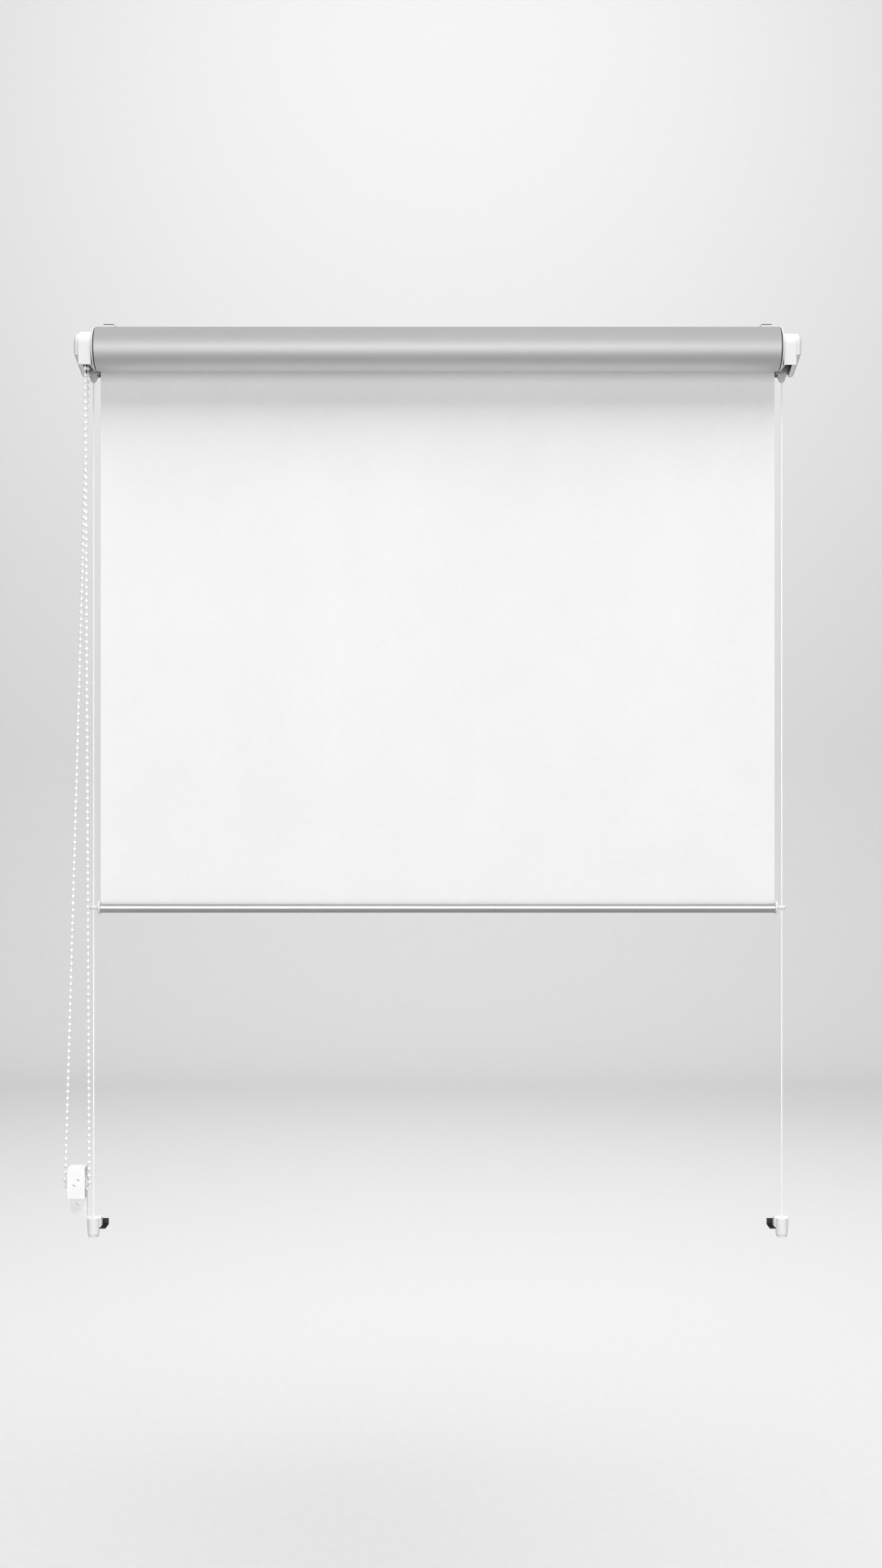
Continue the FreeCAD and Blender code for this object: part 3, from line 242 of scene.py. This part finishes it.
@dataclass(frozen=True)
class WovenFace:
    """The room side of the blackout cloth: a fine plain weave with slight clouding."""

    level: float = 0.79
    spread: tuple[float, float] = (0.90, 1.09)
    yarn: float = 0.52 * MM
    slub: float = 1.7 * MM
    slub_runs: tuple[float, float] = (5.0, 4.0)
    cloud: float = 60 * MM
    relief: float = 0.12 * MM

    def material(self, name: str) -> bpy.types.Material:
        """Build the finish."""
        graph = Graph(name)
        across, _, up = graph.axes()
        turn = math.pi / self.yarn
        weft = (across * turn).wave()
        warp = (up * turn).wave()
        weave = (weft * warp).size()
        run_x, run_z = (self.slub * run for run in self.slub_runs)
        slub_x = graph.noise((1 / run_x, 1.0, 1 / self.slub), 2.0)
        slub_z = graph.noise((1 / self.slub, 1.0, 1 / run_z), 2.0)
        cloud = graph.noise((1 / self.cloud, 1.0, 0.7 / self.cloud), 4.0)
        grain = slub_x * 0.5 + slub_z * 0.5
        share = grain * 0.5 + cloud * 0.35 + weave * 0.15
        height = weave * 0.6 + grain * 0.8
        return graph.surface({
            "Base Color": graph.blend(*shades(self.level, self.spread), share),
            "Roughness": 0.82 + grain * 0.14,
            "Specular IOR Level": 0.25,
            "Sheen Weight": 0.12,
            "Sheen Roughness": 0.5,
            "Normal": graph.bump(height, self.relief, 0.55),
        })


@dataclass(frozen=True)
class CoatedBack:
    """The window side of the blackout cloth: a silver grey coating with a soft lustre."""

    level: float = 0.69
    spread: tuple[float, float] = (0.90, 1.10)
    streak: float = 60 * MM
    streak_squeeze: float = 12.0
    streak_stretch: float = 0.35
    grain: float = 0.8 * MM
    relief: float = 0.05 * MM
    roughness: float = 0.52
    metallic: float = 0.68

    def material(self, name: str) -> bpy.types.Material:
        """Build the finish."""
        graph = Graph(name)
        along, across = self.streak_stretch / self.streak, self.streak_squeeze / self.streak
        streaks = graph.noise((along, across, across), 3.0)
        blots = graph.noise((1 / self.streak,) * 3, 4.0)
        grain = graph.noise((1 / self.grain,) * 3, 2.0)
        share = streaks * 0.3 + blots * 0.3 + grain * 0.4
        return graph.surface({
            "Base Color": graph.blend(*shades(self.level, self.spread), share),
            "Metallic": self.metallic,
            "Roughness": self.roughness + share * 0.10,
            "Specular IOR Level": 0.9,
            "Normal": graph.bump(grain, self.relief, 0.4),
        })


@dataclass(frozen=True)
class MouldedPlastic:
    """Injection moulded plastic with a faint texture and softly worn gloss."""

    level: float
    roughness: float
    spread: tuple[float, float] = (0.96, 1.03)
    pebble: float = 0.7 * MM
    flow: tuple[float, float, float] = (90.0, 60.0, 140.0)
    relief: float = 0.03 * MM

    def material(self, name: str) -> bpy.types.Material:
        """Build the finish."""
        graph = Graph(name)
        pebbles = graph.noise((1 / self.pebble,) * 3, 2.0)
        flow = graph.noise(self.flow, 3.0)
        return graph.surface({
            "Base Color": graph.blend(*shades(self.level, self.spread), flow),
            "Roughness": self.roughness + flow * 0.10,
            "Specular IOR Level": 0.5,
            "Coat Weight": 0.10,
            "Coat Roughness": 0.15,
            "Normal": graph.bump(pebbles * 0.6 + flow * 0.4, self.relief, 0.35),
        })


@dataclass(frozen=True)
class DrawnMetal:
    """Metal with the fine lines of drawing or rolling along X."""

    level: float
    roughness: float
    metallic: float = 1.0
    spread: tuple[float, float] = (0.88, 1.08)
    line: float = 0.12 * MM
    run: float = 40 * MM
    stain: tuple[float, float, float] = (40.0, 60.0, 60.0)
    relief: float = 0.01 * MM

    def material(self, name: str) -> bpy.types.Material:
        """Build the finish."""
        graph = Graph(name)
        lines = graph.noise((1 / self.run, 1 / self.line, 1 / self.line), 2.0)
        stain = graph.noise(self.stain, 3.0)
        share = lines * 0.6 + stain * 0.4
        return graph.surface({
            "Base Color": graph.blend(*shades(self.level, self.spread), share),
            "Metallic": self.metallic,
            "Roughness": self.roughness + share * 0.18,
            "Normal": graph.bump(lines, self.relief, 0.30),
        })


@dataclass(frozen=True)
class TwistedYarn:
    """Polyester strand with fine fibres."""

    level: float = 0.95
    spread: tuple[float, float] = (0.90, 1.04)
    fibre: float = 0.10 * MM
    fibre_stretch: float = 0.12
    relief: float = 0.03 * MM

    def material(self, name: str) -> bpy.types.Material:
        """Build the finish."""
        graph = Graph(name)
        across, along = 1 / self.fibre, self.fibre_stretch / self.fibre
        fibres = graph.noise((across, across, along), 2.0)
        return graph.surface({
            "Base Color": graph.blend(*shades(self.level, self.spread), fibres),
            "Roughness": 0.60 + fibres * 0.25,
            "Specular IOR Level": 0.35,
            "Sheen Weight": 0.15,
            "Normal": graph.bump(fibres, self.relief, 0.5),
        })


class Finish(Enum):
    """The finishes of the blind."""

    WEAVE = WovenFace()
    BACKING = CoatedBack()
    WHITE = MouldedPlastic(0.67, 0.32)
    FROSTED = MouldedPlastic(0.50, 0.48)
    TENSIONER = MouldedPlastic(0.78, 0.40)
    BEAD = MouldedPlastic(0.88, 0.22)
    ALUMINIUM = DrawnMetal(0.82, 0.24, 0.78)
    ZINC = DrawnMetal(0.40, 0.34)
    DARK = DrawnMetal(0.14, 0.42)
    YARN = TwistedYarn()
    FLOOR = MouldedPlastic(0.66, 0.75)

    def material(self) -> bpy.types.Material:
        """The finish's material, made once."""
        name = f"{self.name.lower()}_finish"
        return bpy.data.materials.get(name) or self.value.material(name)


class Pick(Enum):
    """What an edit selects."""

    VERT = "VERT"
    EDGE = "EDGE"
    FACE = "FACE"


class Piece:
    """One modelled object and the edits that shape it."""

    def __init__(self, name: str, operator: Callable, **settings: object) -> None:
        """Add a primitive.

        Args:
            name: the piece's name.
            operator: the operator that adds it.
            settings: the operator's settings.
        """
        bpy.ops.object.select_all(action="DESELECT")
        operator(**settings)
        self.object = bpy.context.object
        self.object.name = name
        self.object.data.name = name

    @classmethod
    def around(cls, item: bpy.types.Object) -> "Piece":
        """Wrap an object that is there already."""
        piece = cls.__new__(cls)
        piece.object = item
        return piece

    def focus(self) -> None:
        """Make this the only selected object."""
        bpy.ops.object.select_all(action="DESELECT")
        self.object.select_set(True)
        bpy.context.view_layer.objects.active = self.object

    def pick(self, kind: Pick, test: Callable[[Vector, Vector], bool]) -> int:
        """Select the elements that pass a test.

        Args:
            kind: vertices, edges or faces.
            test: takes an element's middle and its normal or direction.

        Returns:
            How many were selected.
        """
        self.focus()
        bpy.ops.object.mode_set(mode="EDIT")
        bpy.ops.mesh.select_mode(type=kind.value)
        bpy.ops.mesh.select_all(action="DESELECT")
        bpy.ops.object.mode_set(mode="OBJECT")
        mesh = self.object.data
        count = 0
        if kind is Pick.VERT:
            for vertex in mesh.vertices:
                vertex.select = test(vertex.co, vertex.normal)
                count += vertex.select
        elif kind is Pick.EDGE:
            for edge in mesh.edges:
                first, last = (mesh.vertices[index].co for index in edge.vertices)
                edge.select = test((first + last) / 2, last - first)
                count += edge.select
        else:
            for face in mesh.polygons:
                face.select = test(face.center, face.normal)
                count += face.select
        return count

    def edit(self, operator: Callable, **settings: object) -> None:
        """Run one operator on what is selected, in edit mode."""
        bpy.ops.object.mode_set(mode="EDIT")
        operator(**settings)
        bpy.ops.object.mode_set(mode="OBJECT")

    def modify(self, kind: str, **settings: object) -> None:
        """Add a modifier and apply it."""
        self.focus()
        modifier = self.object.modifiers.new(kind.lower(), kind)
        for key, value in settings.items():
            setattr(modifier, key, value)
        bpy.ops.object.modifier_apply(modifier=modifier.name)

    def settle(self) -> None:
        """Put the piece's place and size into its mesh."""
        self.focus()
        bpy.ops.object.transform_apply(location=True, rotation=True, scale=True)

    def smooth(self, degrees: float = 35.0) -> None:
        """Shade smooth across edges that turn by less than an angle."""
        self.focus()
        bpy.ops.object.shade_smooth_by_angle(angle=math.radians(degrees))

    def outward(self) -> None:
        """Turn all faces outwards."""
        self.pick(Pick.FACE, lambda middle, normal: True)
        self.edit(bpy.ops.mesh.normals_make_consistent, inside=False)

    def join(self, others: list["Piece"]) -> None:
        """Take other pieces into this one."""
        self.focus()
        for other in others:
            other.object.select_set(True)
        bpy.ops.object.join()

    def dress(self, *finishes: Finish) -> None:
        """Give the piece its finishes, one per material slot."""
        self.object.data.materials.clear()
        for finish in finishes:
            self.object.data.materials.append(finish.material())


@dataclass
class HangingCloth:
    """The cloth from the back of the roll down into the bottom bar."""

    thickness: float = 0.42 * MM
    columns: int = 60
    wrap: float = math.radians(24)
    wrap_steps: int = 6
    tuck: float = 2.0 * MM
    ripple: float = 0.10 * MM
    ripple_waves: tuple[float, float] = (19.0, 7.0)

    def build(self) -> Piece:
        """Build the sheet.

        Returns:
            The finished piece.
        """
        low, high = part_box("fabric_sheet")
        bar_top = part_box("bottom_bar")[1].z
        roll_low, roll_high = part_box("fabric_roll")
        axis = (roll_low + roll_high) / 2
        middle_y = (low.y + high.y) / 2
        width = high.x - low.x
        drop = axis.z - bar_top
        piece = Piece(
            "hanging_cloth", bpy.ops.mesh.primitive_grid_add,
            x_subdivisions=self.columns, y_subdivisions=1, size=1.0,
        )
        piece.object.scale = (width, drop, 1.0)
        piece.object.rotation_euler = (math.pi / 2, 0.0, 0.0)
        piece.object.location = (0.0, middle_y, axis.z - drop / 2)
        piece.settle()
        piece.pick(
            Pick.EDGE,
            lambda middle, along: middle.z > axis.z - NEAR and abs(along.z) < NEAR,
        )
        piece.edit(
            bpy.ops.mesh.spin, steps=self.wrap_steps, angle=-self.wrap,
            center=(0.0, axis.y, axis.z), axis=(1.0, 0.0, 0.0),
        )
        piece.pick(
            Pick.EDGE,
            lambda middle, along: middle.z < axis.z - drop + NEAR and abs(along.z) < NEAR,
        )
        piece.edit(
            bpy.ops.mesh.extrude_region_move,
            TRANSFORM_OT_translate={"value": (0.0, 0.0, -self.tuck)},
        )
        fast, slow = self.ripple_waves
        for vertex in piece.object.data.vertices:
            if vertex.co.z < axis.z + NEAR:
                across = vertex.co.x
                vertex.co.y += self.ripple * math.sin(across * fast) * math.cos(across * slow)
        piece.outward()
        piece.modify("SOLIDIFY", thickness=self.thickness, offset=0.0)
        piece.dress(Finish.WEAVE, Finish.BACKING)
        for face in piece.object.data.polygons:
            face.material_index = int(face.normal.y > 0.5)
        piece.smooth(20.0)
        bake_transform(piece.object)
        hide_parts("fabric_sheet")
        return piece


@dataclass
class ClothRoll:
    """The cloth wound on the tube: turns of a spiral inside one whole outer turn."""

    pitch: float = 0.42 * MM
    cloth: float = 0.34 * MM
    steps: int = 48
    outer_steps: int = 128

    def build(self) -> Piece:
        """Build the roll.

        Returns:
            The finished piece.
        """
        low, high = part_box("fabric_roll")
        tube_low, tube_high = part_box("roller_tube")
        axis = (low + high) / 2
        outside = (high.z - low.z) / 2
        inside = (tube_high.z - tube_low.z) / 2
        width = high.x - low.x
        outer = Piece(
            "cloth_roll", bpy.ops.mesh.primitive_cylinder_add, vertices=self.outer_steps,
            radius=outside, depth=width, end_fill_type="NOTHING",
            location=axis, rotation=(0.0, math.pi / 2, 0.0),
        )
        outer.settle()
        outer.outward()
        outer.modify("SOLIDIFY", thickness=self.cloth, offset=-1.0)
        first, last = inside + self.pitch / 2, outside - self.pitch * 1.5
        turns = self._spiral(axis, first, last, width)
        outer.join([turns])
        outer.dress(Finish.BACKING)
        outer.smooth(30.0)
        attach(outer.object, "roller")
        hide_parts("fabric_roll")
        return outer

    def _spiral(self, axis: Vector, start: float, end: float, width: float) -> Piece:
        """The inner turns.

        Args:
            axis: a point on the roll's axis.
            start: the radius of the first turn.
            end: the radius of the last turn.
            width: the cloth's width.

        Returns:
            The turns as one piece.
        """
        turn_count = (end - start) / self.pitch
        count = int(turn_count * self.steps)
        turns = Piece(
            "cloth_turns", bpy.ops.mesh.primitive_circle_add, vertices=count + 1,
            radius=1.0, fill_type="NOTHING",
        )
        mesh = turns.object.data
        for index, vertex in enumerate(mesh.vertices):
            angle = index / self.steps * 2 * math.pi
            radius = start + (end - start) * index / count
            vertex.co = (
                -width / 2, axis.y + radius * math.cos(angle), axis.z + radius * math.sin(angle),
            )
        closing = (end - start) * 0.9
        turns.pick(Pick.EDGE, lambda middle, along: along.length > closing)
        turns.edit(bpy.ops.mesh.delete, type="EDGE")
        turns.pick(Pick.EDGE, lambda middle, along: True)
        turns.edit(
            bpy.ops.mesh.extrude_region_move,
            TRANSFORM_OT_translate={"value": (width, 0.0, 0.0)},
        )
        turns.outward()
        turns.modify("SOLIDIFY", thickness=self.cloth, offset=0.0)
        return turns


@dataclass
class GuideString:
    """A taut three-strand string from its knot to its tensioner."""

    side: str
    strands: int = 3
    pitch: float = 5.0 * MM
    steps: int = 10
    sides: int = 6
    radius: float = 0.70 * MM
    strand_share: float = 1.3
    knot_radius: float = 1.3 * MM
    knot_drop: float = 0.9
    knot_tilt: tuple[float, float, float] = (0.2, 0.15, 0.0)

    def build(self) -> Piece:
        """Build the string.

        Returns:
            The finished piece.
        """
        node = f"{self.side}_guide_string"
        low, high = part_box(node)
        middle = (low + high) / 2
        packed = self.radius / (1 + 1 / math.sin(math.pi / self.strands))
        strand = packed * self.strand_share
        ring = self.radius - strand
        parts = []
        for index in range(self.strands):
            angle = index * 2 * math.pi / self.strands
            parts.append(Piece(
                f"{self.side}_guide_cord", bpy.ops.mesh.primitive_circle_add, vertices=self.sides,
                radius=strand, fill_type="NOTHING",
                location=(ring * math.cos(angle), ring * math.sin(angle), 0.0),
            ))
        cord = parts[0]
        cord.join(parts[1:])
        cord.settle()
        turns = int((high.z - low.z) / self.pitch)
        cord.modify(
            "SCREW", axis="Z", angle=2 * math.pi, screw_offset=(high.z - low.z) / turns,
            iterations=turns, steps=self.steps, render_steps=self.steps,
        )
        cord.object.location = (middle.x, middle.y, low.z)
        cord.settle()
        cord.pick(Pick.VERT, lambda place, normal: True)
        cord.edit(bpy.ops.mesh.remove_doubles, threshold=WELD)
        cord.pick(Pick.EDGE, lambda middle, along: True)
        cord.edit(bpy.ops.mesh.fill_holes, sides=self.sides)
        cord.outward()
        knot = Piece(
            f"{self.side}_knot", bpy.ops.mesh.primitive_torus_add,
            major_radius=self.knot_radius * 0.52, minor_radius=self.knot_radius * 0.48,
            major_segments=20, minor_segments=10,
            location=(middle.x, middle.y, high.z - self.knot_radius * self.knot_drop),
            rotation=self.knot_tilt,
        )
        knot.settle()
        cord.join([knot])
        cord.dress(Finish.YARN)
        cord.smooth(50.0)
        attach(cord.object, "root")
        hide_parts(node)
        return cord


@dataclass
class BallChain:
    """The endless ball chain round the wheel and the holder's pulley."""

    pitch: float = 6.0 * MM
    pockets: int = 9
    bead_radius: float = 1.7 * MM
    bead_segments: int = 10
    bead_rings: int = 6
    cord_radius: float = 0.45 * MM
    pulley_pitch: float = 10.75 * MM
    arc_steps: int = 24

    def route(self) -> list[Vector]:
        """The corners of the loop: both strands and points round both arcs."""
        wheel_low, wheel_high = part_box("chain_wheel")
        pulley_low, pulley_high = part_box("chain_pulley")
        wheel = (wheel_low + wheel_high) / 2
        pulley = (pulley_low + pulley_high) / 2
        wheel_radius = self.pitch * self.pockets / (2 * math.pi)
        angles = [math.pi * index / self.arc_steps for index in range(self.arc_steps + 1)]
        points = []
        for angle in angles:
            spoke = Vector((math.cos(angle), 0.0, -math.sin(angle)))
            points.append(pulley + spoke * self.pulley_pitch)
        for angle in angles:
            spoke = Vector((0.0, math.cos(angle), math.sin(angle)))
            points.append(wheel + spoke * wheel_radius)
        return points[-1:] + points[:-1]

    @staticmethod
    def along(points: list[Vector], distance: float) -> tuple[Vector, Vector]:
        """A place on the closed loop and the way it runs there."""
        for here, there in zip(points, points[1:] + points[:1]):
            step = (there - here).length
            if distance <= step:
                return here.lerp(there, distance / step), (there - here).normalized()
            distance -= step
        return points[0], (points[1] - points[0]).normalized()

    def build(self) -> list[Piece]:
        """Build the cord and its beads.

        Returns:
            The two finished pieces.
        """
        points = self.route()
        return [self._cord(points), self._beads(points)]

    def _cord(self, points: list[Vector]) -> Piece:
        """The thin cord through the beads."""
        curve = Piece("chain_line", bpy.ops.curve.primitive_bezier_curve_add)
        data = curve.object.data
        data.splines.clear()
        spline = data.splines.new("POLY")
        spline.points.add(len(points) - 1)
        for point, place in zip(spline.points, points):
            point.co = (*place, 1.0)
        spline.use_cyclic_u = True
        data.dimensions = "3D"
        data.bevel_depth = self.cord_radius
        data.bevel_resolution = 2
        curve.focus()
        bpy.ops.object.convert(target="MESH")
        curve.dress(Finish.BEAD)
        curve.smooth(40.0)
        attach(curve.object, "root")
        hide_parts("chain_cord")
        return curve

    def _beads(self, points: list[Vector]) -> Piece:
        """The beads, each a copy of one moulded bead."""
        pattern = Piece(
            "chain_bead", bpy.ops.mesh.primitive_uv_sphere_add, radius=self.bead_radius,
            segments=self.bead_segments, ring_count=self.bead_rings,
        )
        pattern.pick(Pick.FACE, lambda middle, normal: abs(normal.z) > 0.85)
        pattern.edit(bpy.ops.mesh.inset, thickness=self.bead_radius * 0.06, depth=0.0)
        pattern.smooth(60.0)
        length = sum((b - a).length for a, b in zip(points, points[1:] + points[:1]))
        count = round(length / self.pitch)
        copies = []
        for index in range(count):
            place, way = self.along(points, length * index / count)
            mesh = pattern.object.data.copy()
            turn = way.to_track_quat("Z", "Y").to_matrix().to_4x4()
            mesh.transform(Matrix.Translation(place) @ turn)
            bead = bpy.data.objects.new("chain_bead_copy", mesh)
            bpy.context.scene.collection.objects.link(bead)
            copies.append(Piece.around(bead))
        bpy.data.objects.remove(pattern.object)
        beads = copies[0]
        beads.join(copies[1:])
        beads.object.name = "chain_balls"
        beads.dress(Finish.BEAD)
        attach(beads.object, "root")
        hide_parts("chain_beads")
        return beads


@dataclass
class Hardware:
    """The construction's own pieces, which keep their shape and get a finish."""

    slots: tuple[tuple[str, Finish], ...] = (
        ("white_plastic", Finish.WHITE),
        ("grey_plastic", Finish.FROSTED),
        ("zinc_steel", Finish.ZINC),
        ("dark_steel", Finish.DARK),
        ("aluminium", Finish.ALUMINIUM),
        ("chain_plastic", Finish.BEAD),
        ("guide_string", Finish.YARN),
        ("blackout_cloth", Finish.WEAVE),
        ("silver_backing", Finish.BACKING),
    )
    exceptions: tuple[tuple[str, Finish], ...] = (
        ("chain_holder_base", Finish.BEAD),
        ("chain_holder_cover", Finish.BEAD),
        ("right_tensioner", Finish.TENSIONER),
        ("left_tensioner", Finish.TENSIONER),
        ("right_tension_knob", Finish.TENSIONER),
        ("left_tension_knob", Finish.TENSIONER),
    )

    def dress(self, frame: dict) -> int:
        """Give each carried-over piece its finish.


        Returns:
            How many pieces were dressed.
        """
        finishes = dict(self.slots)
        exceptions = dict(self.exceptions)
        for part in frame["record"]["subparts"]:
            name = part["node"]
            finish = exceptions.get(name, finishes[part["material_slot"]])
            materials = frame["nodes"][name].data.materials
            materials.clear()
            materials.append(finish.material())
        return len(frame["record"]["subparts"])


@dataclass(frozen=True)
class Softbox:
    """A soft rectangular light that the camera doesn't see."""

    name: str
    place: tuple[float, float, float]
    aim: tuple[float, float, float]
    size: tuple[float, float]
    power: float
    glints: bool = True

    def build(self) -> None:
        """Add the light."""
        lamp = bpy.data.lights.new(self.name, "AREA")
        lamp.shape = "RECTANGLE"
        lamp.size, lamp.size_y = self.size
        lamp.energy = self.power
        item = bpy.data.objects.new(self.name, lamp)
        bpy.context.scene.collection.objects.link(item)
        item.location = self.place
        way = Vector(self.aim) - Vector(self.place)
        item.rotation_euler = way.to_track_quat("-Z", "Y").to_euler()
        item.visible_camera = False
        item.visible_glossy = self.glints


@dataclass
class Studio:
    """Pale floor, soft light and the camera."""

    camera_place: tuple[float, float, float] = (0.003, -1.809, -0.383)
    focal_px: float = 3219.0
    frame_height_px: float = 2500.0
    sensor: float = 36.0
    floor_z: float = -1.25
    floor_half: float = 9.0
    wall_y: float = 4.0
    wall_height: float = 5.0
    bend_radius: float = 1.0
    bend_steps: int = 12
    surround: float = 0.15
    softboxes: tuple[Softbox, ...] = (
        Softbox("high_softbox", (0.3, -1.7, 3.0), (0.0, 0.0, -0.3), (3.0, 2.6), 150.0, False),
        Softbox("front_softbox", (-0.1, -3.8, -0.05), (0.0, 0.0, -0.2), (3.0, 2.3), 64.0),
        Softbox("backdrop_light", (0.0, 1.4, 3.0), (0.0, 4.2, -0.4), (3.0, 3.0), 170.0, False),
        Softbox("rear_softbox", (0.7, 3.0, 0.8), (0.0, 0.0, -0.2), (2.0, 1.2), 8.0, False),
    )

    def build(self) -> None:
        """Build the floor, the lights and the camera."""
        self._floor()
        self._lights()
        self._camera()

    def _floor(self) -> None:
        """A floor that turns up into a wall far behind."""
        floor = Piece(
            "floor", bpy.ops.mesh.primitive_grid_add,
            x_subdivisions=8, y_subdivisions=8, size=1.0,
        )
        floor.object.scale = (self.floor_half * 2, self.floor_half * 2, 1.0)
        floor.object.location = (0.0, self.wall_y - self.floor_half, self.floor_z)
        floor.settle()
        wall_foot = self.floor_z + self.bend_radius
        floor.pick(Pick.EDGE, lambda middle, along: middle.y > self.wall_y - NEAR)
        floor.edit(
            bpy.ops.mesh.spin, steps=self.bend_steps, angle=-math.pi / 2,
            center=(0.0, self.wall_y, wall_foot), axis=(1.0, 0.0, 0.0),
        )
        floor.pick(Pick.EDGE, lambda middle, along: middle.z > wall_foot - NEAR)
        floor.edit(
            bpy.ops.mesh.extrude_region_move,
            TRANSFORM_OT_translate={"value": (0.0, 0.0, self.wall_height)},
        )
        floor.smooth(60.0)
        floor.dress(Finish.FLOOR)
        floor.object.visible_glossy = False

    def _lights(self) -> None:
        """A bright even surround and the softboxes."""
        world = bpy.data.worlds.new("surround")
        bpy.context.scene.world = world
        world.use_nodes = True
        background = world.node_tree.nodes["Background"]
        background.inputs["Color"].default_value = (1.0, 1.0, 1.0, 1.0)
        background.inputs["Strength"].default_value = self.surround
        bpy.context.scene.view_settings.view_transform = "Standard"
        for softbox in self.softboxes:
            softbox.build()

    def _camera(self) -> None:
        """The camera, level and square to the blind."""
        data = bpy.data.cameras.new("camera")
        data.sensor_fit = "VERTICAL"
        data.sensor_height = self.sensor
        data.sensor_width = self.sensor
        data.lens = self.focal_px / self.frame_height_px * self.sensor
        item = bpy.data.objects.new("camera", data)
        bpy.context.scene.collection.objects.link(item)
        item.location = self.camera_place
        item.rotation_euler = (math.pi / 2, 0.0, 0.0)
        bpy.context.scene.camera = item


def main() -> None:
    """Build the blind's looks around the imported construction."""
    logging.basicConfig(level=logging.INFO, format="%(message)s")
    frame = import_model()
    Studio().build()
    LOG.info("dressed %d carried-over pieces", Hardware().dress(frame))
    pieces = [ClothRoll().build(), HangingCloth().build()]
    pieces += [GuideString(side).build() for side in ("right", "left")]
    pieces += BallChain().build()
    for piece in pieces:
        LOG.info("%s: %d faces", piece.object.name, len(piece.object.data.polygons))
    bpy.context.view_layer.update()


if __name__ == "__main__":
    main()
